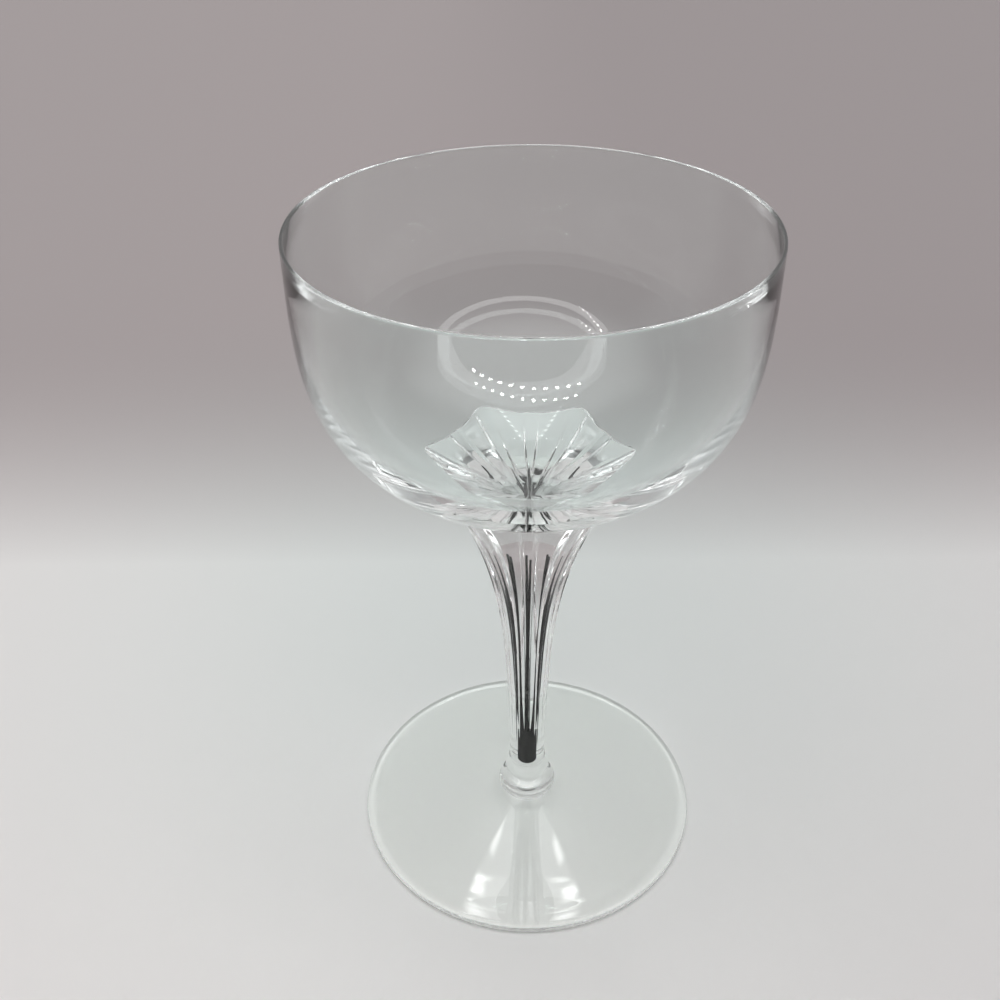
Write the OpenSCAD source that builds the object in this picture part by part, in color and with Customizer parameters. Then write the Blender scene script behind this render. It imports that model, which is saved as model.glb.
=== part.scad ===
// Coupe glass: a blown bowl on a ribbed trumpet stem with black threads inside, a bead, a collar
// and a round foot. The glass stands on the plane z = 0 with its axis on z. Millimetres.

/* [Overall] */
// Height from the table to the rim
height = 160; // [150:1:180]
// Gap left where two hot-fused pieces meet on a curved or enclosed face
fuse_gap = 0.05; // [0.02:0.01:0.1]

/* [Bowl] */
// Outer diameter at the rim
rim_d = 95; // [85:1:110]
// Depth of the bowl's outside, from the rim to its lowest point
bowl_depth = 59.6; // [50:0.2:62]
// Thickness of the wall at the rim
rim_wall = 1.2; // [0.8:0.1:2]
// Thickness of the glass at the bowl's lowest point
bowl_floor = 3; // [2:0.1:5]

/* [Stem] */
// Diameter of the stem at its slimmest
neck_d = 8.8; // [7.6:0.1:9.4]
// Height of the slimmest place above the stem's lower end
neck_rise = 4; // [2:0.5:10]
// Growth of the radius along the straight part of the stem
shaft_taper = 1.6; // [0.6:0.1:2.5]
// Diameter of the calyx lip across its corners
lip_d = 47.6; // [38:0.2:54]
// Thickness of the calyx lip at its edge
lip_edge = 0.4; // [0.2:0.05:0.8]
// Height of the ribs under the calyx lip
rib_h = 1.1; // [0.3:0.05:1.4]
// Number of ribs round the calyx
rib_count = 12; // [6:6:18]
// Number of sides of the calyx lip
lip_sides = 6; // [5:1:8]
// Turn of the calyx about the axis
calyx_turn = -2.5; // [-15:0.5:15]

/* [Black glass] */
// Diameter of the black core
core_d = 2.5; // [2.4:0.1:3.4]
// Depth of the core's rounded end below the stem's lower end, in the bead
core_sink = 1.4; // [0.6:0.1:4]
// Length of the core
core_len = 12; // [8:0.5:20]
// Number of threads drawn up out of the core
thread_count = 6; // [3:1:6]
// Diameter of a thread where it leaves the core
thread_low_d = 0.6; // [0.4:0.05:0.7]
// Diameter of a thread at its upper end
thread_top_d = 0.4; // [0.2:0.05:0.5]
// Distance from the threads' upper ends to the bowl's lowest point
thread_drop = 12.4; // [12:0.2:40]
// Turn that the threads make on their way up
thread_twist = 3; // [-20:1:20]

/* [Bead and collar] */
// Widest diameter of the bead
bead_d = 11; // [10.2:0.1:14]
// Height of the bead
bead_h = 5.8; // [5.2:0.1:7]
// Diameter of the groove between bead and collar
groove_d = 9.2; // [8.6:0.1:9.8]
// Widest diameter of the collar
collar_d = 14.4; // [12.4:0.1:18]
// Height of the collar
collar_h = 5.6; // [4:0.1:7]
// Diameter of the collar where it stands on the foot
collar_seat_d = 11; // [10:0.1:12]

/* [Foot] */
// Diameter of the foot
foot_d = 85; // [75:1:95]
// Thickness of the foot at its edge
foot_edge = 2; // [1.5:0.1:3]
// Height of the foot where the collar stands on it
foot_rise = 4.6; // [4:0.1:6]
// Width of the flat ring that the glass stands on
ring_w = 4; // [2:0.5:8]
// Depth of the hollow under the foot at its middle
hollow = 0.9; // [0.4:0.1:1.5]

/* [Hidden] */
$fn = 96;
rim_r = rim_d / 2;
neck_r = neck_d / 2;
lip_r = lip_d / 2;
core_r = core_d / 2;
groove_r = groove_d / 2;
foot_r = foot_d / 2;

// Powers of the bowl's curve: a high one keeps the wall upright, a low one rounds the bottom
wall_power = 3.8;
round_power = 1.63;
bowl_steps = 40;
rim_steps = 6;
bowl_top = height - rim_wall / 2;
bowl_low = height - bowl_depth;

// Stack of the stem on its foot, from the table up
collar_z = foot_rise;
bead_z = collar_z + collar_h;
stem_z = bead_z + bead_h;
neck_z = stem_z + neck_rise;

// Powers of the stem's flare and of the fading of its sides and ribs down the shaft
flare_power = 4;
side_power = 2;
rib_power = 1.5;
// Power of the ribs' run-out into the lip, which leaves its edge straight from corner to corner
run_out_power = 14;
// Roundness of the corners of the calyx lip, where a higher power is a sharper corner
corner_power = 18;
// Rings of the stem, packed towards the lip, and rings of its seat under the bowl
stem_rings = 22;
ring_power = 1.5;
lip_tries = 12;
seat_shares = [0.86, 0.7, 0.52, 0.3];
// Columns of one rib and the flute beside it, as shares of their angle, with the rib's height there
column_shares = [0, 0.13, 0.23, 0.36, 0.5, 0.64, 0.77, 0.87];
ridge_shares = [1, 0.95, 0, 0, 0, 0, 0, 0.95];

// Core and threads: the threads leave the core a little inside its edge, settle at a share of the
// stem's radius, and drift a little further out towards their upper ends
root_inset = 0.12;
core_z = stem_z - core_sink;
core_top = core_z + core_len;
thread_top = bowl_low - thread_drop;
thread_near_share = 0.305;
thread_far_share = 0.34;
settle_power = 6;
thread_rings = 16;
thread_sides = 8;
front_angle = -90;

// Radius of the top of the bead, a little wider than the stem that stands on it
bead_top_r = neck_r + 0.5 * (bead_d / 2 - neck_r) / 2;

// Foot: the rounded edge, then a top that climbs faster the nearer it comes to the collar
foot_steps = 24;
edge_steps = 8;
foot_power = 1.7;
foot_seat_r = collar_seat_d / 2;
foot_flat_r = foot_r - foot_edge / 2;

// Height of the bowl's outside at a radius
function bowl_under(r) =
    bowl_top - (bowl_top - bowl_low) * pow(1 - pow(min(r / rim_r, 1), round_power), 1 / wall_power);

// One wall of the bowl from the rim down to the axis
function bowl_curve(r, depth) = [
    for (k = [0:bowl_steps])
        let (t = 90 * k / bowl_steps)
        [r * pow(max(cos(t), 0), 2 / round_power), bowl_top - depth * pow(sin(t), 2 / wall_power)]
];

function reverse(list) = [for (k = [len(list) - 1:-1:0]) list[k]];

// Share of the way from the slimmest place of the stem up to the corners of its lip
function climb(z) = max(z - neck_z, 0) / (corner_z - neck_z);

// Radius of the stem before its sides and ribs are formed
function flare(z) =
    neck_r + shaft_taper * climb(z) + (lip_r - neck_r - shaft_taper) * pow(climb(z), flare_power);

// Outline of a regular polygon with rounded corners, 1 at a corner that lies on angle 0
function side_share(a) =
    let (
        turn = 180 / lip_sides,
        reach = function(b) pow(
            [for (i = [0:lip_sides - 1]) pow(max(cos(b - turn * (2 * i + 1)), 0), corner_power)]
                * [for (i = [0:lip_sides - 1]) 1],
            1 / corner_power
        )
    )
    reach(0) / reach(a);

// Radius of the stem's outside on one column at a height
function stem_radius(a, ridge, z) =
    flare(z) * (1 - (1 - side_share(a)) * pow(climb(z), side_power))
    + rib_h * ridge * pow(climb(z), rib_power) * (1 - pow(min(climb(z), 1), run_out_power));

// Height of the seat that the bowl's underside gives the calyx at a radius
function seat_z(r) = bowl_under(r) - fuse_gap;
corner_z = seat_z(lip_r) - lip_edge;

// Height of the lip on one column, where the flare comes up to the bowl
function lip_z(a, ridge, z, tries) =
    tries == 0 ? z : lip_z(a, ridge, seat_z(stem_radius(a, ridge, z)) - lip_edge, tries - 1);

function at(r, a, z) = [r * cos(a), r * sin(a), z];

// Faces between rings of equal count, with a fan to close each end
function loft_faces(rings, n) = concat(
    [for (k = [0:rings - 2]) for (i = [0:n - 1])
        [k * n + i, (k + 1) * n + i, (k + 1) * n + (i + 1) % n]],
    [for (k = [0:rings - 2]) for (i = [0:n - 1])
        [k * n + i, (k + 1) * n + (i + 1) % n, k * n + (i + 1) % n]],
    [for (i = [0:n - 1]) [rings * n, i, (i + 1) % n]],
    [for (i = [0:n - 1]) [rings * n + 1, (rings - 1) * n + (i + 1) % n, (rings - 1) * n + i]]
);

// Trumpet with its flutes, ribs and lip, and a top that follows the bowl's underside
module trumpet() {
    per_rib = len(column_shares);
    columns = rib_count * per_rib;
    angles = [for (i = [0:columns - 1])
        (floor(i / per_rib) + column_shares[i % per_rib]) * 360 / rib_count];
    ridges = [for (i = [0:columns - 1]) ridge_shares[i % per_rib]];
    lips = [for (i = [0:columns - 1]) lip_z(angles[i], ridges[i], corner_z, lip_tries)];
    lip_radii = [for (i = [0:columns - 1]) stem_radius(angles[i], ridges[i], lips[i])];
    outside = [for (k = [0:stem_rings]) for (i = [0:columns - 1])
        let (
            share = 1 - pow(1 - k / stem_rings, ring_power),
            z = stem_z + (lips[i] - stem_z) * share
        )
        at(stem_radius(angles[i], ridges[i], z), angles[i], z)];
    seat = [for (share = concat([1], seat_shares)) for (i = [0:columns - 1])
        at(lip_radii[i] * share, angles[i], seat_z(lip_radii[i] * share))];
    ends = [[0, 0, stem_z], [0, 0, seat_z(0)]];
    rings = stem_rings + 2 + len(seat_shares);
    rotate([0, 0, calyx_turn])
        polyhedron(concat(outside, seat, ends), loft_faces(rings, columns), convexity = 6);
}

// Share of the stem's radius at which a thread runs, from its lower end at 0 to its upper at 1
function thread_share(t) =
    let (low_share = (core_r - thread_low_d / 2 - root_inset) / flare(core_top))
    low_share + (thread_near_share - low_share) * (1 - pow(1 - t, settle_power))
    + (thread_far_share - thread_near_share) * t;

// Thread of black glass, or with a gap the channel that it fills in the clear stem
module strand(gap) {
    rings = [for (k = [0:thread_rings])
        let (
            t = k / thread_rings,
            end_gap = k == 0 ? -gap : k == thread_rings ? gap : 0,
            z = core_top + (thread_top - core_top) * t
        )
        [flare(z) * thread_share(t), (thread_low_d + (thread_top_d - thread_low_d) * t) / 2 + gap,
            thread_twist * t, z + end_gap]];
    wall = [for (ring = rings) for (i = [0:thread_sides - 1])
        at(ring[0], ring[2], 0) + at(ring[1], 360 * i / thread_sides, ring[3])];
    low = rings[0];
    top = rings[thread_rings];
    ends = [at(low[0], low[2], low[3]), at(top[0], top[2], top[3])];
    polyhedron(concat(wall, ends), loft_faces(thread_rings + 1, thread_sides), convexity = 4);
}

// Lathe shape of the core, or with a gap the pocket that it fills
module core_form(gap) {
    translate([0, 0, core_z + core_r])
        sphere(r = core_r + gap);
    translate([0, 0, core_z + core_r])
        cylinder(r = core_r + gap, h = core_len - core_r + gap);
}

// Place of one thread round the axis
module on_thread(i) {
    rotate([0, 0, front_angle + 360 * (i - 1) / thread_count])
        children();
}

// Disc with a bulging edge: an arc through both ends and the widest place
module bulge(low_r, top_r, wide_r, z, h) {
    end_r = min(low_r, top_r);
    rise = wide_r - end_r;
    arc_r = (rise * rise + h * h / 4) / (2 * rise);
    translate([0, 0, z])
        rotate_extrude()
            polygon(concat(
                [[0, 0], [low_r, 0]],
                [for (k = [1:edge_steps - 1])
                    let (
                        y = h * (1 - cos(180 * k / edge_steps)) / 2,
                        arc = wide_r - arc_r + sqrt(max(arc_r * arc_r - pow(y - h / 2, 2), 0))
                    )
                    [max(arc, low_r + (top_r - low_r) * y / h), y]],
                [[top_r, h], [0, h]]
            ));
}

module bowl() {
    wall_depth = bowl_top - bowl_low;
    color("azure", 0.4)
        rotate_extrude()
            polygon(concat(
                bowl_curve(rim_r, wall_depth),
                reverse(bowl_curve(rim_r - rim_wall, wall_depth - bowl_floor)),
                [for (k = [1:rim_steps - 1])
                    [rim_r - rim_wall / 2, bowl_top]
                        + rim_wall / 2 * [-cos(180 * k / rim_steps), sin(180 * k / rim_steps)]]
            ));
}

module fluted_stem() {
    color("lightcyan", 0.5)
        difference() {
            trumpet();
            core_form(fuse_gap);
            for (i = [1:thread_count])
                on_thread(i)
                    strand(fuse_gap);
        }
}

module black_core() {
    color("black")
        core_form(0);
}

module black_thread(i) {
    color("black")
        on_thread(i)
            strand(0);
}

module bead() {
    color("lightcyan", 0.5)
        difference() {
            bulge(groove_r, bead_top_r, bead_d / 2, bead_z, bead_h);
            core_form(fuse_gap);
        }
}

module collar() {
    color("lightcyan", 0.5)
        bulge(collar_seat_d / 2, groove_r, collar_d / 2, collar_z, collar_h);
}

module foot() {
    slope = foot_rise - foot_edge;
    hollow_r = foot_flat_r - ring_w;
    color("azure", 0.4)
        rotate_extrude()
            polygon(concat(
                [for (k = [0:edge_steps])
                    [foot_flat_r, foot_edge / 2]
                        + foot_edge / 2 * [sin(180 * k / edge_steps), -cos(180 * k / edge_steps)]],
                [for (k = [1:foot_steps])
                    let (share = k / foot_steps)
                    [foot_flat_r - (foot_flat_r - foot_seat_r) * share,
                        foot_edge + slope * pow(share, foot_power)]],
                [[0, foot_rise]],
                [for (k = [0:foot_steps])
                    let (share = k / foot_steps)
                    [hollow_r * share, hollow * (1 - share * share)]]
            ));
}

bowl();
fluted_stem();
black_core();
for (i = [1:thread_count])
    black_thread(i);
bead();
collar();
foot();
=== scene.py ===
# Coupe glass: the looks of a blown and hot-worked stem glass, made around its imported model.
# All sizes are in metres.
import math

import bpy
import numpy as np
from mathutils import Matrix, Vector


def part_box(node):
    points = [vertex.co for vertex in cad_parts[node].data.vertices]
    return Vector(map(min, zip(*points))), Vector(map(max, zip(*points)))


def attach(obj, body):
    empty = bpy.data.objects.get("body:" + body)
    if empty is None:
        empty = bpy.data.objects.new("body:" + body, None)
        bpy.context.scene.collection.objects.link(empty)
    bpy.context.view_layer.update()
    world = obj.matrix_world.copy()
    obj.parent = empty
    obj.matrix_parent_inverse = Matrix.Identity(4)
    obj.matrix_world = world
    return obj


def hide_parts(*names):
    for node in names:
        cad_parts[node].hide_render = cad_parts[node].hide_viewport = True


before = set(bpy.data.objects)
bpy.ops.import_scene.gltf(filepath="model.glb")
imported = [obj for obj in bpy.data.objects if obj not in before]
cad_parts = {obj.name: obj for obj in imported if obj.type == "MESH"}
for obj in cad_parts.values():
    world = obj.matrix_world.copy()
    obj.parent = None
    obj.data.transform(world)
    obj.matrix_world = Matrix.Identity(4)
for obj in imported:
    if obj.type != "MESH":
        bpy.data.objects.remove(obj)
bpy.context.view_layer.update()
scene = bpy.context.scene


# View: the camera stands above the rim and looks down at the glass, a little tilted.
# The lens gives the photograph's frame of 1000 by 1000 pixels.
mm = 0.001
half_turn = math.pi
view_place = (-6.5 * mm, -208.54 * mm, 241.71 * mm)
view_down = math.radians(34.88)
view_tilt = math.radians(-0.483)
view_sensor = 36
view_lens = 41.48
view_nearest = 10 * mm

view = bpy.data.objects.new("view", bpy.data.cameras.new("view"))
view.data.sensor_width = view_sensor
view.data.lens = view_lens
view.data.clip_start = view_nearest
view.matrix_world = (
    Matrix.Translation(view_place)
    @ Matrix.Rotation(half_turn / 2 - view_down, 4, "X")
    @ Matrix.Rotation(view_tilt, 4, "Z")
)
scene.collection.objects.link(view)
scene.camera = view


# Table: a wide flat sheet of pale paper that the glass stands on. It is light in front and greys behind
# the glass with painted shade, standing in for the real sheet that bends up there and away from the
# lamps. Its right side is darker with painted shade, and its middle is a little cooler.
table_reach = 3.0
table_drop = 0.05 * mm
bend_start = 102 * mm
bend_end = 290 * mm
bend_power = 2.8
side_reach = 110 * mm
cool_place = (0, 100 * mm, 0)
cool_reach = 260 * mm
paper_front = (0.79, 0.757, 0.75, 1)
# The grey of the paper behind the glass is painted shade, where the real sheet bends up out of the light.
paper_back_shade = (0.405, 0.362, 0.364, 1)
# Painted shade that darkens the paper's right side.
side_shade = (0.9, 0.9, 0.905, 1)
cool_tint = (0.915, 1, 0.99, 1)
paper_roughness = 0.8
paper_gloss = 0.2


class Number:
    """A number in a node tree, so that a formula on nodes reads as plain arithmetic."""

    def __init__(self, tree, socket):
        self.tree = tree
        self.socket = socket

    def maths(self, operation, *others):
        node = self.tree.nodes.new("ShaderNodeMath")
        node.operation = operation
        for slot, value in zip(node.inputs, (self, *others)):
            if isinstance(value, Number):
                self.tree.links.new(value.socket, slot)
            else:
                slot.default_value = value
        return Number(self.tree, node.outputs[0])

    def __add__(self, other):
        return self.maths("ADD", other)

    def __sub__(self, other):
        return self.maths("SUBTRACT", other)

    def __rsub__(self, other):
        return self.maths("MULTIPLY", -1.0).maths("ADD", other)

    def __mul__(self, other):
        return self.maths("MULTIPLY", other)

    def __truediv__(self, other):
        return self.maths("DIVIDE", other)

    def __rtruediv__(self, other):
        return self.maths("POWER", -1.0).maths("MULTIPLY", other)

    def __pow__(self, other):
        return self.maths("POWER", other)

    def __abs__(self):
        return self.maths("ABSOLUTE")

    __radd__ = __add__
    __rmul__ = __mul__


def linked(tree, node_type, **sources):
    """A new node with its inputs fed, by their names with underscores for spaces."""
    node = tree.nodes.new(node_type)
    for key, value in sources.items():
        socket = node.inputs[key.replace("_", " ")]
        if isinstance(value, Number):
            tree.links.new(value.socket, socket)
        elif isinstance(value, bpy.types.NodeSocket):
            tree.links.new(value, socket)
        else:
            socket.default_value = value
    return node


def axes_of(tree, source):
    """X, Y and Z of a place or a direction, as numbers."""
    split = linked(tree, "ShaderNodeSeparateXYZ", Vector=source)
    return [Number(tree, output) for output in split.outputs]


def smooth_step(source, start, end, kind="SMOOTHSTEP"):
    """A change from 0 to 1 as the source goes from start to end."""
    step = linked(source.tree, "ShaderNodeMapRange", Value=source, From_Min=start, From_Max=end)
    step.interpolation_type = kind
    return Number(source.tree, step.outputs["Result"])


def colour_mix(factor, below, above, kind="MIX"):
    """Two colours blended by a factor. Each is a colour or an output of the factor's tree."""
    tree = factor.tree
    blend = tree.nodes.new("ShaderNodeMix")
    blend.data_type = "RGBA"
    blend.blend_type = kind
    for name, value in (("A", below), ("B", above)):
        if isinstance(value, bpy.types.NodeSocket):
            tree.links.new(value, blend.inputs[name])
        else:
            blend.inputs[name].default_value = value
    tree.links.new(factor.socket, blend.inputs["Factor"])
    return blend.outputs["Result"]


def new_material(name):
    """A material with nodes, its node tree and its Principled shader."""
    material = bpy.data.materials.new(name)
    material.use_nodes = True
    return material, material.node_tree, material.node_tree.nodes["Principled BSDF"]


def object_coordinates(tree):
    """The place on the piece, in metres from the glass's origin."""
    return tree.nodes.new("ShaderNodeTexCoord").outputs["Object"]


paper, tree, shader = new_material("pale_paper")
paper_place = object_coordinates(tree)
paper_x, paper_y, _ = axes_of(tree, paper_place)
# Painted shade: the paper greys towards the back, where the real sheet bends up out of the light.
near = smooth_step(paper_y, bend_end, bend_start, "LINEAR")
tone = colour_mix(near ** bend_power, paper_back_shade, paper_front)
# Painted shade: the paper darkens towards its right side.
tone = colour_mix(smooth_step(paper_x, -side_reach, side_reach), tone, side_shade, "MULTIPLY")
span = tree.nodes.new("ShaderNodeVectorMath")
span.operation = "DISTANCE"
span.inputs[1].default_value = cool_place
tree.links.new(paper_place, span.inputs[0])
cool = smooth_step(Number(tree, span.outputs["Value"]), cool_reach, 0)
tone = colour_mix(cool, tone, cool_tint, "MULTIPLY")
tree.links.new(tone, shader.inputs["Base Color"])
shader.inputs["Roughness"].default_value = paper_roughness
shader.inputs["Specular IOR Level"].default_value = paper_gloss

corners = [(-1, -1), (1, -1), (1, 1), (-1, 1)]
corners = [(x * table_reach, y * table_reach, -table_drop) for x, y in corners]
table_mesh = bpy.data.meshes.new("table")
table_mesh.from_pydata(corners, [], [(0, 1, 2, 3)])
table = bpy.data.objects.new("table", table_mesh)
table.data.materials.append(paper)
scene.collection.objects.link(table)


# Light: a white ceiling over grey walls, dark in front. Over the glass's far side is a bright gap
# with a strip of lamps along each edge, which shows as a fan in the foot. In front hangs a ring of
# small lamps under a round diffuser, with two stretches bare, which shows in the bowl.
ceiling = (1.65, 1.65, 1.65, 1)
side_walls = (0.33, 0.34, 0.34, 1)
back_wall = (0.4, 0.39, 0.39, 1)
opening = (0.05, 0.05, 0.05, 1)
roof_gap = (2.4, 2.4, 2.4, 1)
strip_glow = (10, 10, 10, 1)
# Where each change in the room starts and ends, on the axes of a direction of length 1
ceiling_up = (0.5, 0.9)
back_away = (0.2, 0.5)
back_down = (0.95, 0.8)
front_away = (-0.2, -0.5)
front_down = (0.65, 0.4)
gap_away = (0.3, 0.36)
gap_up = (0.81, 0.83)
gap_middle = 0.013
gap_half = 0.08
gap_lean = 0.53
gap_centre = 0.52
strip_width = 0.016
strip_pitch = 0.017
strip_lit = (0.3 * strip_pitch, 0.8 * strip_pitch)
ring_place = (28 * mm, -156 * mm, 372 * mm)
ring_radius = 219 * mm
ring_tube = 16 * mm
ring_glow = 3.5
ring_steps = 96
tube_steps = 12
lamp_height = 350 * mm
lamp_radius = 2.6 * mm
lamp_power = 0.02
lamp_rows = [
    {"first": (80 * mm, 31 * mm), "last": (-60 * mm, 60 * mm), "bow": 10 * mm, "lamps": 11},
    {"first": (-158 * mm, -70 * mm), "last": (-170 * mm, -250 * mm), "bow": 8 * mm, "lamps": 8},
]
light_bounces = 64
brightest_sample = 40

surround = bpy.data.worlds.new("bright_room")
scene.world = surround
surround.use_nodes = True
tree = surround.node_tree
toward = tree.nodes.new("ShaderNodeTexCoord").outputs["Generated"]
toward_x, toward_y, toward_z = axes_of(tree, toward)
room = colour_mix(smooth_step(toward_z, *ceiling_up), side_walls, ceiling)
behind = smooth_step(toward_y, *back_away) * smooth_step(toward_z, *back_down)
room = colour_mix(behind, room, back_wall)
before = smooth_step(toward_y, *front_away) * smooth_step(toward_z, *front_down)
room = colour_mix(before, room, opening)
aside = abs(toward_x - gap_middle) + (toward_y - gap_centre) * gap_lean
gap = smooth_step(aside, gap_half, gap_half - strip_width)
gap = gap * smooth_step(toward_y, *gap_away) * smooth_step(toward_z, *gap_up)
room = colour_mix(gap, room, roof_gap)
strip = smooth_step(aside, gap_half - 2 * strip_width, gap_half - strip_width) * gap
lit = smooth_step(toward_y.maths("PINGPONG", strip_pitch), *strip_lit)
room = colour_mix(strip * lit, room, strip_glow)
tree.links.new(room, tree.nodes["Background"].inputs["Color"])

glow, tree, shader = new_material("ring_diffuser")
tree.nodes.remove(shader)
shine = linked(tree, "ShaderNodeEmission", Strength=ring_glow)
tree.links.new(shine.outputs[0], tree.nodes["Material Output"].inputs["Surface"])
bpy.ops.mesh.primitive_torus_add(
    major_radius=ring_radius, minor_radius=ring_tube, major_segments=ring_steps,
    minor_segments=tube_steps, location=ring_place,
)
ring_lamp = bpy.context.object
ring_lamp.name = "ring_diffuser"
ring_lamp.data.materials.append(glow)
ring_lamp.visible_camera = False
ring_lamp.visible_diffuse = False

lamp = bpy.data.lights.new("bare_lamp", "POINT")
lamp.shadow_soft_size = lamp_radius
lamp.energy = lamp_power
for row in lamp_rows:
    first, last = Vector(row["first"]), Vector(row["last"])
    outward = Vector((last.y - first.y, first.x - last.x)).normalized() * row["bow"]
    for step in np.linspace(0, 1, row["lamps"]):
        spot = first.lerp(last, step) + outward * 4 * step * (1 - step)
        dot = bpy.data.objects.new("bare_lamp", lamp)
        dot.location = (spot.x, spot.y, lamp_height)
        dot.visible_camera = False
        dot.visible_diffuse = False
        scene.collection.objects.link(dot)

scene.view_settings.view_transform = "Standard"
scene.cycles.max_bounces = light_bounces
scene.cycles.transmission_bounces = light_bounces
scene.cycles.glossy_bounces = light_bounces
scene.cycles.transparent_max_bounces = light_bounces
scene.cycles.blur_glossy = 0
scene.cycles.sample_clamp_indirect = brightest_sample


# Foot: a round plate of clear glass, pressed or spun flat while hot, which rises gently to the
# middle. It stands on a narrow ring round a slight hollow, and its edge is fire-polished round.
_, foot_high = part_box("foot")
foot_radius = foot_high.x
foot_edge = 2 * mm
foot_rise = foot_high.z
foot_power = 1.7
foot_hollow = 0.9 * mm
foot_steps = 48
edge_steps = 16
standing_ring = 4 * mm
collar_seat = 5.5 * mm
around = 256
sharp_angle = math.radians(40)
glass_index = 1.5
surface_inputs = {"Wave Size": 60.0, "Wave Height": 1.0, "Mark Size": 90.0, "Marks": 0.02}
wave_detail = 1
mark_detail = 6
mark_roughness = 0.7
mark_start = 0.58
mark_end = 0.8


def blown_surface():
    """Shader group: the faint waves that hot-worked glass keeps, and the dust and wipe marks on it."""
    group = bpy.data.node_groups.new("blown_surface", "ShaderNodeTree")
    face = group.interface
    for name, value in surface_inputs.items():
        socket = face.new_socket(name, in_out="INPUT", socket_type="NodeSocketFloat")
        socket.default_value = value
    face.new_socket("Place", in_out="INPUT", socket_type="NodeSocketVector")
    face.new_socket("Height", in_out="OUTPUT", socket_type="NodeSocketFloat")
    face.new_socket("Roughness", in_out="OUTPUT", socket_type="NodeSocketFloat")
    given = group.nodes.new("NodeGroupInput").outputs
    result = group.nodes.new("NodeGroupOutput").inputs
    waves = linked(group, "ShaderNodeTexNoise", Vector=given["Place"], Scale=given["Wave Size"],
                   Detail=wave_detail)
    height = Number(group, waves.outputs["Fac"]) * Number(group, given["Wave Height"])
    marks = linked(group, "ShaderNodeTexNoise", Vector=given["Place"], Scale=given["Mark Size"],
                   Detail=mark_detail, Roughness=mark_roughness)
    patch = smooth_step(Number(group, marks.outputs["Fac"]), mark_start, mark_end, "LINEAR")
    dull = patch * Number(group, given["Marks"])
    group.links.new(height.socket, result["Height"])
    group.links.new(dull.socket, result["Roughness"])
    return group


surface_group = blown_surface()


def clear_glass(name, tint, wave_size, wave_height, marks):
    """Clear glass with its own tint, waves and marks. wave_size counts the waves in a metre, and
    wave_height is in millimetres."""
    material, tree, shader = new_material(name)
    shader.inputs["Base Color"].default_value = tint
    shader.inputs["IOR"].default_value = glass_index
    shader.inputs["Transmission Weight"].default_value = 1
    surface = tree.nodes.new("ShaderNodeGroup")
    surface.node_tree = surface_group
    surface.inputs["Wave Size"].default_value = wave_size
    surface.inputs["Wave Height"].default_value = wave_height
    surface.inputs["Marks"].default_value = marks
    tree.links.new(object_coordinates(tree), surface.inputs["Place"])
    bump = linked(tree, "ShaderNodeBump", Strength=1, Distance=mm, Height=surface.outputs["Height"])
    tree.links.new(bump.outputs["Normal"], shader.inputs["Normal"])
    tree.links.new(surface.outputs["Roughness"], shader.inputs["Roughness"])
    return material


def fused_join():
    """Where two pieces were fused hot: the same glass on both sides, so nothing is to be seen."""
    material, tree, shader = new_material("fused_join")
    tree.nodes.remove(shader)
    clear = tree.nodes.new("ShaderNodeBsdfTransparent")
    tree.links.new(clear.outputs[0], tree.nodes["Material Output"].inputs["Surface"])
    return material


join_material = fused_join()


def ring_faces(columns, rings):
    """Faces between rings of points, with a fan to a point on the axis at each end."""
    fan = [(i, (i + 1) % columns) for i in range(columns)]
    last = 1 + (rings - 1) * columns
    faces = [(0, 1 + j, 1 + i) for i, j in fan]
    for low in range(1, last, columns):
        high = low + columns
        faces += [(low + i, low + j, high + j, high + i) for i, j in fan]
    return faces + [(last + i, last + j, last + columns) for i, j in fan]


def new_piece(name, points, columns, material, joins):
    """A smooth closed mesh of rings of points, from a point on the axis to another. joins are the
    counts of the bands of faces that lie in a fused join."""
    rings = (len(points) - 2) // columns
    joined = [band in joins for band in range(rings + 1) for _ in range(columns)]
    mesh = bpy.data.meshes.new(name)
    mesh.from_pydata([tuple(point) for point in points], [], ring_faces(columns, rings))
    mesh.materials.append(material)
    mesh.materials.append(join_material)
    mesh.polygons.foreach_set("material_index", [int(flag) for flag in joined])
    mesh.polygons.foreach_set("use_smooth", [True] * len(mesh.polygons))
    mesh.update()
    mesh.set_sharp_from_angle(angle=sharp_angle)
    piece = bpy.data.objects.new(name, mesh)
    scene.collection.objects.link(piece)
    return piece


def turned(name, profile, material, joins=()):
    """A lathe shape. profile runs from the axis below, round the outside, to the axis above, as
    radius and height. joins are the counts of profile steps that lie in a fused join."""
    turns = np.arange(around) * 2 * half_turn / around
    points = [(0, 0, profile[0][1])]
    for radius, height in profile[1:-1]:
        points += [(radius * math.cos(t), radius * math.sin(t), height) for t in turns]
    points.append((0, 0, profile[-1][1]))
    return new_piece(name, points, around, material, joins)


def arc(centre, radius, start, end, steps):
    """Points on an arc about centre, from one angle to the other."""
    angles = np.linspace(start, end, steps + 1)
    return [(centre[0] + radius * math.cos(a), centre[1] + radius * math.sin(a)) for a in angles]


flat_radius = foot_radius - foot_edge / 2
hollow_radius = flat_radius - standing_ring
shares = np.linspace(0, 1, foot_steps + 1)
under = [(hollow_radius * s, foot_hollow * (1 - s * s)) for s in shares]
edge = arc((flat_radius, foot_edge / 2), foot_edge / 2, -half_turn / 2, half_turn / 2, edge_steps)
top = [
    (flat_radius + (collar_seat - flat_radius) * s, foot_edge + (foot_rise - foot_edge) * s ** foot_power)
    for s in shares[1:]
]
profile = under + edge + top + [(0, foot_rise)]
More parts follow.
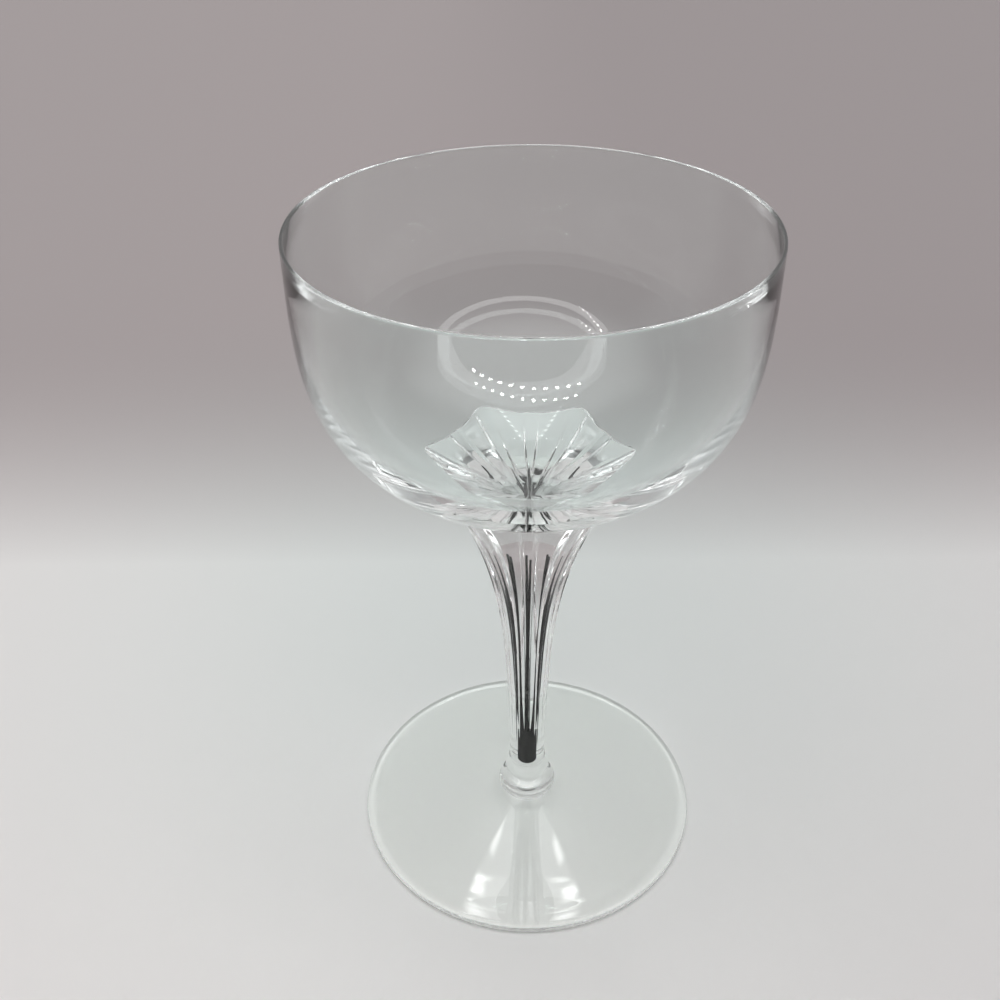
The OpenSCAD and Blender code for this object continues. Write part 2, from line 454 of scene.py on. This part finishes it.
# The foot's darker tint is partly the glass's own green-grey and partly painted shade, standing in for the
# shadow that the bowl and stem cast on the paper under the foot.
foot_glass = clear_glass(
    "foot_glass", tint=(0.93, 0.942, 0.932, 1), wave_size=45, wave_height=0.05, marks=0.01,
)
foot = turned("pressed_foot", profile, foot_glass, joins={len(profile) - 2})
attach(foot, "root")
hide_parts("foot")


# Collar: the wide disc of glass, a merese, dropped hot between the foot and the bead. Its edge
# bulges, because surface tension rounded it before it set.
collar_low, collar_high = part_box("collar")
groove_radius = 4.6 * mm
bulge_steps = 28
clearest = (0.985, 0.992, 0.988, 1)


def bulge(low_radius, top_radius, wide_radius, low, high):
    """Side of a disc that bulges: an arc through the narrower end and the widest place."""
    rise = wide_radius - min(low_radius, top_radius)
    height = high - low
    arc_radius = (rise * rise + height * height / 4) / (2 * rise)
    side = []
    for k in range(bulge_steps + 1):
        y = height * (1 - math.cos(half_turn * k / bulge_steps)) / 2
        out = wide_radius - arc_radius + math.sqrt(max(arc_radius ** 2 - (y - height / 2) ** 2, 0))
        side.append((max(out, low_radius + (top_radius - low_radius) * y / height), low + y))
    return side


side = bulge(collar_seat, groove_radius, collar_high.x, collar_low.z, collar_high.z)
profile = [(0, collar_low.z)] + side + [(0, collar_high.z)]
collar_glass = clear_glass("collar_glass", clearest, wave_size=120, wave_height=0.05, marks=0.01)
collar = turned("collar_merese", profile, collar_glass, joins={0, len(profile) - 2})
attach(collar, "root")
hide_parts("collar")


# Bead: a small clear bead on the collar, which takes the stem's lower end. The black core reaches
# down into it. It was fused on between the collar and the stem.
bead_low, bead_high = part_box("bead")
neck_radius = 4.4 * mm
bead_top_radius = neck_radius + (bead_high.x - neck_radius) / 4

side = bulge(groove_radius, bead_top_radius, bead_high.x, bead_low.z, bead_high.z)
profile = [(0, bead_low.z)] + side + [(neck_radius, bead_high.z), (0, bead_high.z)]
bead_glass = clear_glass("bead_glass", clearest, wave_size=140, wave_height=0.05, marks=0.01)
bead = turned("clear_bead", profile, bead_glass, joins={0, len(profile) - 2})
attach(bead, "root")
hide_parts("bead")


# Fluted stem: one gather of clear glass, pressed in a ribbed mould and drawn down to a slim shaft.
# Its trumpet opens into twelve flutes and a six-sided lip that was fused under the bowl.
stem_low, stem_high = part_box("fluted_stem")
bowl_low, bowl_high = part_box("bowl")
rim_radius = bowl_high.x
rim_wall = 1.2 * mm
bowl_top = bowl_high.z - rim_wall / 2
bowl_depth = bowl_top - bowl_low.z
wall_power = 3.8
round_power = 1.63
stem_sizes = {
    "Lower End": stem_low.z,
    "Neck Height": stem_low.z + 4 * mm,
    "Neck Radius": neck_radius,
    "Shaft Taper": 1.6 * mm,
    "Lip Radius": 23.8 * mm,
    "Flare Power": 4.0,
    "Side Power": 2.0,
    "Corner Power": 18.0,
    "Lip Edge": 0.4 * mm,
    "Rib Height": 1.1 * mm,
    "Rib Power": 1.5,
    "Rib Top": math.radians(3.9),
    "Rib Foot": math.radians(6.9),
    "Run-out Power": 14.0,
    "Rim Radius": rim_radius,
    "Bowl Top": bowl_top,
    "Bowl Depth": bowl_depth,
    "Wall Power": wall_power,
    "Round Power": round_power,
}
stem_mesh = {
    "Ribs": 12,
    "Lip Sides": 6,
    "Columns": 360,
    "Wall Rings": 120,
    "Wall Ring Power": 1.5,
    "Lip Rings": 3,
    "Seat Rings": 24,
    "Merge Distance": 0.002 * mm,
}
calyx_turn = math.radians(-2.5)
lip_tries = 9


def limited(value, least, most):
    return value.maths("MAXIMUM", least).maths("MINIMUM", most)


def new_tree(name, inputs):
    """A geometry tree with named inputs. Returns it, its inputs as numbers and its output node."""
    tree = bpy.data.node_groups.new(name, "GeometryNodeTree")
    face = tree.interface
    face.new_socket("Geometry", in_out="OUTPUT", socket_type="NodeSocketGeometry")
    for key, value in inputs.items():
        kinds = {float: "NodeSocketFloat", int: "NodeSocketInt"}
        kind = kinds.get(type(value), "NodeSocketMaterial")
        socket = face.new_socket(key, in_out="INPUT", socket_type=kind)
        if kind != "NodeSocketMaterial":
            socket.default_value = value
    given = tree.nodes.new("NodeGroupInput")
    numbers = {key: Number(tree, given.outputs[key]) for key in inputs}
    return tree, numbers, tree.nodes.new("NodeGroupOutput")


def grown(name, tree, inputs):
    """Runs a geometry tree on an empty mesh and returns the piece that it makes as a plain mesh."""
    carrier = bpy.data.objects.new(name, bpy.data.meshes.new(name))
    scene.collection.objects.link(carrier)
    modifier = carrier.modifiers.new(name, "NODES")
    modifier.node_group = tree
    for item in tree.interface.items_tree:
        if item.in_out == "INPUT":
            modifier[item.identifier] = inputs[item.name]
    ready = carrier.evaluated_get(bpy.context.evaluated_depsgraph_get())
    mesh = bpy.data.meshes.new_from_object(ready)
    carrier.modifiers.clear()
    carrier.data = mesh
    mesh.name = name
    mesh.set_sharp_from_angle(angle=sharp_angle)
    return carrier


def placed(tree, geometry, radius, turn, height):
    """The geometry with its points moved to a radius, an angle and a height about the axis."""
    point = linked(tree, "ShaderNodeCombineXYZ", X=radius * turn.maths("COSINE"),
                   Y=radius * turn.maths("SINE"), Z=height)
    moved = linked(tree, "GeometryNodeSetPosition", Geometry=geometry, Position=point.outputs[0])
    return moved.outputs[0]


def flare(climb, size):
    """Radius of the stem before its sides and ribs are formed, as its lip is neared."""
    opening = size["Lip Radius"] - size["Neck Radius"] - size["Shaft Taper"]
    return size["Neck Radius"] + size["Shaft Taper"] * climb + opening * climb ** size["Flare Power"]


def bowl_under(radius, size):
    """Height of the bowl's outside at a radius."""
    share = 1 - (radius / size["Rim Radius"]) ** size["Round Power"]
    return size["Bowl Top"] - size["Bowl Depth"] * share ** (1 / size["Wall Power"])


def fluted_tree(inputs):
    """The stem as a rule: rings of columns round the axis, pushed out to flutes, ribs and lip."""
    tree, size, result = new_tree("fluted_stem", inputs)
    grid_x, grid_y, _ = axes_of(tree, tree.nodes.new("GeometryNodeInputPosition").outputs[0])
    angle = (grid_x + 0.5) * (2 * half_turn)
    up = grid_y + 0.5
    corner_height = bowl_under(size["Lip Radius"], size) - size["Lip Edge"]

    from_rib = angle.maths("PINGPONG", half_turn / size["Ribs"])
    flank = limited((from_rib - size["Rib Top"]) / (size["Rib Foot"] - size["Rib Top"]), 0.0, 1.0)
    ridge = 1 - flank * flank * (3 - 2 * flank)
    side_angle = half_turn / size["Lip Sides"]
    from_corner = angle.maths("PINGPONG", side_angle)

    def reach(turn):
        near = (side_angle - turn).maths("COSINE") ** size["Corner Power"]
        far = (side_angle + turn).maths("COSINE") ** size["Corner Power"]
        return (near + far) ** (1 / size["Corner Power"])

    side_share = reach(from_corner * 0.0) / reach(from_corner)

    def stem_radius(height):
        climb = limited(height - size["Neck Height"], 0.0, 1.0) / (corner_height - size["Neck Height"])
        climb = limited(climb, 0.0, 1.0)
        sides = 1 - (1 - side_share) * climb ** size["Side Power"]
        run_out = 1 - climb ** size["Run-out Power"]
        rib = size["Rib Height"] * ridge * climb ** size["Rib Power"] * run_out
        return flare(climb, size) * sides + rib

    lip_height = corner_height
    for _ in range(lip_tries):
        lip_height = bowl_under(stem_radius(lip_height), size) - size["Lip Edge"]
    lip_radius = stem_radius(lip_height)
    low = size["Lower End"]

    def grid(rows, radius, height, joined):
        """Columns by rows, wrapped round the axis at the given radius and height."""
        cells = linked(tree, "GeometryNodeMeshGrid", Size_X=1.0, Size_Y=1.0,
                       Vertices_X=size["Columns"] + 1, Vertices_Y=rows + 1)
        marked = tree.nodes.new("GeometryNodeStoreNamedAttribute")
        marked.data_type = "BOOLEAN"
        marked.domain = "FACE"
        marked.inputs["Name"].default_value = "joined"
        marked.inputs["Value"].default_value = joined
        tree.links.new(placed(tree, cells.outputs["Mesh"], radius, angle, height), marked.inputs["Geometry"])
        return marked.outputs[0]

    share = 1 - (1 - up) ** size["Wall Ring Power"]
    wall_height = low + (lip_height - low) * share
    low_radius = stem_radius(low + up * 0.0)
    seat_radius = lip_radius * (1 - up)
    parts = [
        grid(1, low_radius * up, low + up * 0.0, True),
        grid(size["Wall Rings"], stem_radius(wall_height), wall_height, False),
        grid(size["Lip Rings"], lip_radius, lip_height + size["Lip Edge"] * up, False),
        grid(size["Seat Rings"], seat_radius, bowl_under(seat_radius, size), True),
    ]
    whole = tree.nodes.new("GeometryNodeJoinGeometry")
    for part in reversed(parts):
        tree.links.new(part, whole.inputs[0])
    closed = linked(tree, "GeometryNodeMergeByDistance", Geometry=whole.outputs[0],
                    Distance=size["Merge Distance"])
    smooth = linked(tree, "GeometryNodeSetShadeSmooth", Geometry=closed.outputs[0])
    real = linked(tree, "GeometryNodeRealizeInstances", Geometry=smooth.outputs[0])
    glass = linked(tree, "GeometryNodeSetMaterial", Geometry=real.outputs[0], Material=size["Glass"])
    flag = tree.nodes.new("GeometryNodeInputNamedAttribute")
    flag.data_type = "BOOLEAN"
    flag.inputs["Name"].default_value = "joined"
    join = linked(tree, "GeometryNodeSetMaterial", Geometry=glass.outputs[0], Material=size["Join"],
                  Selection=flag.outputs["Attribute"])
    tree.links.new(join.outputs[0], result.inputs[0])
    return tree


stem_glass = clear_glass("stem_glass", clearest, wave_size=160, wave_height=0.04, marks=0.005)
stem_inputs = {**stem_sizes, **stem_mesh, "Glass": stem_glass, "Join": join_material}
stem = grown("fluted_trumpet", fluted_tree(stem_inputs), stem_inputs)
stem.data.transform(Matrix.Rotation(calyx_turn, 4, "Z"))
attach(stem, "root")
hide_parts("fluted_stem")


# Black core: a drop of opaque black glass in the lower end of the stem, round below. It was taken
# up first, and the clear glass was gathered over it.
core_low, core_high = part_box("black_core")
core_radius = core_high.x
core_edge = 0.25 * mm
core_end_steps = 16
core_edge_steps = 6
deep_black = (0.001, 0.001, 0.0015, 1)
warm_black = (0.004, 0.003, 0.003, 1)
streak_size = 400
streak_detail = 3
black_roughness = 0.3


def black_glass(name):
    """Black glass inside clear glass, faintly streaked: nothing shines where the two are fused."""
    material, tree, shader = new_material(name)
    streaks = linked(tree, "ShaderNodeTexNoise", Vector=object_coordinates(tree),
                     Scale=streak_size, Detail=streak_detail)
    tone = colour_mix(Number(tree, streaks.outputs["Fac"]), deep_black, warm_black)
    tree.links.new(tone, shader.inputs["Base Color"])
    shader.inputs["Roughness"].default_value = black_roughness
    shader.inputs["Specular IOR Level"].default_value = 0
    return material


core_end = arc((0, core_low.z + core_radius), core_radius, -half_turn / 2, 0, core_end_steps)
edge_place = (core_radius - core_edge, core_high.z - core_edge)
core_top = arc(edge_place, core_edge, 0, half_turn / 2, core_edge_steps)
profile = [(0, core_low.z)] + core_end[1:] + core_top + [(0, core_high.z)]
core = turned("black_drop", profile, black_glass("core_black"))
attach(core, "root")
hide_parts("black_core")


# Black threads: six strands drawn up out of the core when the stem was pulled, one in every 60
# degrees. Each follows the trumpet's flare and thins out until it ends under the bowl.
_, thread_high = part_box("black_thread_1")
thread_count = 6
thread_sizes = {
    "Lower End": core_high.z,
    "Upper End": thread_high.z,
    "Core Radius": core_radius,
    "Low Radius": 0.3 * mm,
    "Top Radius": 0.2 * mm,
    "Near Share": 0.305,
    "Far Share": 0.34,
    "Settle Power": 6.0,
    "Root Inset": 0.12 * mm,
    "Drift": math.radians(3),
    "Place": 0.0,
    "Steps": 120,
    "Sides": 16,
}


def thread_tree(inputs):
    """One thread: a line that is bent to the stem's flare and given its thickness."""
    tree, size, result = new_tree("black_thread", inputs)
    line = linked(tree, "GeometryNodeCurvePrimitiveLine", End=(0, 0, 1))
    fine = linked(tree, "GeometryNodeResampleCurve", Curve=line.outputs[0], Count=size["Steps"])
    _, _, up = axes_of(tree, tree.nodes.new("GeometryNodeInputPosition").outputs[0])
    height = size["Lower End"] + (size["Upper End"] - size["Lower End"]) * up
    corner_height = bowl_under(size["Lip Radius"], size) - size["Lip Edge"]

    def climb(z):
        return limited((z - size["Neck Height"]) / (corner_height - size["Neck Height"]), 0.0, 1.0)

    root = size["Core Radius"] - size["Low Radius"] - size["Root Inset"]
    low_share = root / flare(climb(size["Lower End"]), size)
    settled = 1 - (1 - up) ** size["Settle Power"]
    share = low_share + (size["Near Share"] - low_share) * settled
    share = share + (size["Far Share"] - size["Near Share"]) * up
    out = flare(climb(height), size) * share
    turn = size["Place"] + size["Drift"] * up
    thickness = size["Low Radius"] + (size["Top Radius"] - size["Low Radius"]) * up
    thick = linked(tree, "GeometryNodeSetCurveRadius", Curve=fine.outputs[0], Radius=thickness)
    bent = placed(tree, thick.outputs[0], out, turn, height)
    section = linked(tree, "GeometryNodeCurvePrimitiveCircle", Resolution=size["Sides"], Radius=1.0)
    kept = tree.nodes.new("GeometryNodeInputRadius")
    strand = linked(tree, "GeometryNodeCurveToMesh", Curve=bent, Profile_Curve=section.outputs[0],
                    Scale=kept.outputs[0], Fill_Caps=True)
    smooth = linked(tree, "GeometryNodeSetShadeSmooth", Geometry=strand.outputs[0])
    real = linked(tree, "GeometryNodeRealizeInstances", Geometry=smooth.outputs[0])
    black = linked(tree, "GeometryNodeSetMaterial", Geometry=real.outputs[0], Material=size["Black"])
    tree.links.new(black.outputs[0], result.inputs[0])
    return tree


thread_inputs = {**stem_sizes, **thread_sizes, "Black": black_glass("thread_black")}
strand_tree = thread_tree(thread_inputs)
for i in range(thread_count):
    thread_inputs["Place"] = half_turn * (2 * i / thread_count - 0.5)
    thread = grown(f"thread_{i + 1}", strand_tree, thread_inputs)
    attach(thread, "root")
    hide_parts(f"black_thread_{i + 1}")


# Bowl: blown thin in a mould, cracked off and fire-polished at the rim, and thicker at the bottom,
# where the stem's lip was fused to it. Its wall thins towards the rim.
bowl_floor = 3 * mm
lip_wall = 0.8 * mm
lip_reach = 40 * mm
join_shares = [0.12, 0.3, 0.5, 0.7, 0.86, 0.93]
wall_steps = 90
rim_steps = 10


def lip_outline(mesh):
    """Angle and radius of the stem's lip, read where its wall meets the fused join on top."""
    join_slots = [material == join_material for material in mesh.materials]
    edge_bands = {}
    for face in mesh.polygons:
        for key in face.edge_keys:
            edge_bands.setdefault(key, set()).add(join_slots[face.material_index])
    ends = {v for key, bands in edge_bands.items() if len(bands) == 2 for v in key}
    points = [mesh.vertices[v].co for v in ends]
    middle = (stem_low.z + stem_high.z) / 2
    lip = [(math.atan2(p.y, p.x), math.hypot(p.x, p.y)) for p in points if p.z > middle]
    return np.array(sorted(lip))


turns, lip_radii = lip_outline(stem.data).T
columns = len(turns)


def ring(radii, heights):
    """One ring of the bowl's points, on the columns of the stem's lip."""
    radii = np.broadcast_to(radii, columns)
    heights = np.broadcast_to(heights, columns)
    return np.stack([radii * np.cos(turns), radii * np.sin(turns), heights], axis=1)


def wall_point(quarter, radius, depth):
    """A point of the bowl's curve, from the rim at 0 down to the axis at a quarter turn."""
    out = radius * np.clip(np.cos(quarter), 0, 1) ** (2 / round_power)
    return out, bowl_top - depth * np.sin(quarter) ** (2 / wall_power)


rings = [ring(lip_radii * s, bowl_under(lip_radii * s, stem_sizes)) for s in join_shares]
lip_quarter = np.arccos((lip_radii / rim_radius) ** (round_power / 2))
for k in range(wall_steps + 1):
    rings.append(ring(*wall_point(lip_quarter * (1 - k / wall_steps), rim_radius, bowl_depth)))
for across, above in arc((0, 0), 1, 0, half_turn, rim_steps)[1:-1]:
    rings.append(ring(rim_radius - lip_wall / 2 * (1 - across), bowl_top + rim_wall / 2 * above))
inner_radius = rim_radius - rim_wall
inner_depth = bowl_depth - bowl_floor
for k in range(wall_steps):
    out, height = wall_point(half_turn / 2 * k / wall_steps, inner_radius, inner_depth)
    near_lip = max(1 - (bowl_top - height) / lip_reach, 0)
    rings.append(ring(out + (rim_wall - lip_wall) * near_lip, height))
points = np.concatenate([[[0, 0, bowl_low.z]], *rings, [[0, 0, bowl_top - inner_depth]]])
bowl_glass = clear_glass(
    "bowl_glass", tint=(0.918, 0.952, 0.945, 1), wave_size=35, wave_height=0.012, marks=0.003,
)
bowl = new_piece("blown_bowl", points, columns, bowl_glass, joins=range(len(join_shares) + 1))
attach(bowl, "root")
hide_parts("bowl")
